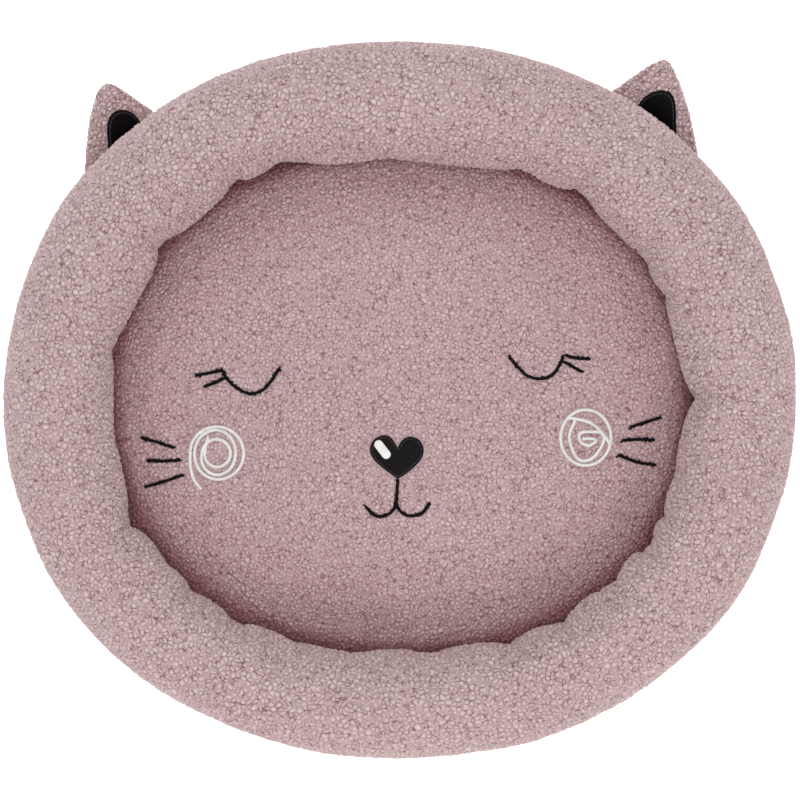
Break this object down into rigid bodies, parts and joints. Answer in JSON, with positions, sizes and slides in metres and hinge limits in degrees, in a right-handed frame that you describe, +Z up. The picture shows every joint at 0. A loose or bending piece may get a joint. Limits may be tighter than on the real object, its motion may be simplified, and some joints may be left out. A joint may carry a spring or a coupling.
{
  "type": "pet cushion bed",
  "caption": "Oval pet bed with a stuffed fleece bolster round a stuffed floor cushion, padded cat ears and an embroidered sleeping cat face.",
  "frame": {"origin": "on the floor under the centre of the bed", "axes": "+Z up, +Y towards the ears, +X towards the bed's right side as seen from above with the ears at the top"},
  "size_m": [0.5514, 0.4984, 0.095],
  "materials": {
    "bolster_fleece": "dusty pink curly boucle fleece, matt",
    "cushion_fleece": "dusty pink curly boucle fleece, finer curl, matt",
    "base_fabric": "plain woven grey non-slip fabric with small raised grip dots",
    "fibre_filling": "loose white polyester fibre",
    "black_thread": "black embroidery thread, slight sheen",
    "white_thread": "white embroidery thread, slight sheen",
    "black_satin": "black satin applique with a stitched edge"
  },
  "bodies": {
    "root": {"base_panel": "base_fabric", "bolster_cover": "bolster_fleece", "bolster_fill": "fibre_filling", "cushion_panel": "cushion_fleece", "cushion_fill": "fibre_filling", "left_eye_lid": "black_thread", "left_eye_upper_lash": "black_thread", "left_eye_lower_lash": "black_thread", "right_eye_lid": "black_thread", "right_eye_upper_lash": "black_thread", "right_eye_lower_lash": "black_thread", "left_whisker_upper": "black_thread", "left_whisker_middle": "black_thread", "left_whisker_lower": "black_thread", "right_whisker_upper": "black_thread", "right_whisker_middle": "black_thread", "right_whisker_lower": "black_thread", "mouth_stem": "black_thread", "mouth_left_curl": "black_thread", "mouth_right_curl": "black_thread", "left_cheek_swirl": "white_thread", "right_cheek_swirl": "white_thread", "nose_heart": "black_satin", "nose_highlight": "white_thread"},
    "left_ear": {"left_ear_front_panel": "bolster_fleece", "left_ear_back_panel": "bolster_fleece", "left_ear_fill": "fibre_filling", "left_ear_inner_patch": "black_satin"},
    "right_ear": {"right_ear_front_panel": "bolster_fleece", "right_ear_back_panel": "bolster_fleece", "right_ear_fill": "fibre_filling", "right_ear_inner_patch": "black_satin"}
  },
  "joints": [
    {"name": "left_ear_seam", "type": "hinge", "parent": "root", "child": "left_ear", "pos_m": [-0.19878, 0.17652, 0.026], "axis": [0.7354, 0.6777, 0], "range_deg": [-50, 15], "stiffness_Nm_per_rad": 0.2},
    {"name": "right_ear_seam", "type": "hinge", "parent": "root", "child": "right_ear", "pos_m": [0.18164, 0.19093, 0.026], "axis": [0.7934, -0.6087, 0], "range_deg": [-50, 15], "stiffness_Nm_per_rad": 0.2}
  ]
}
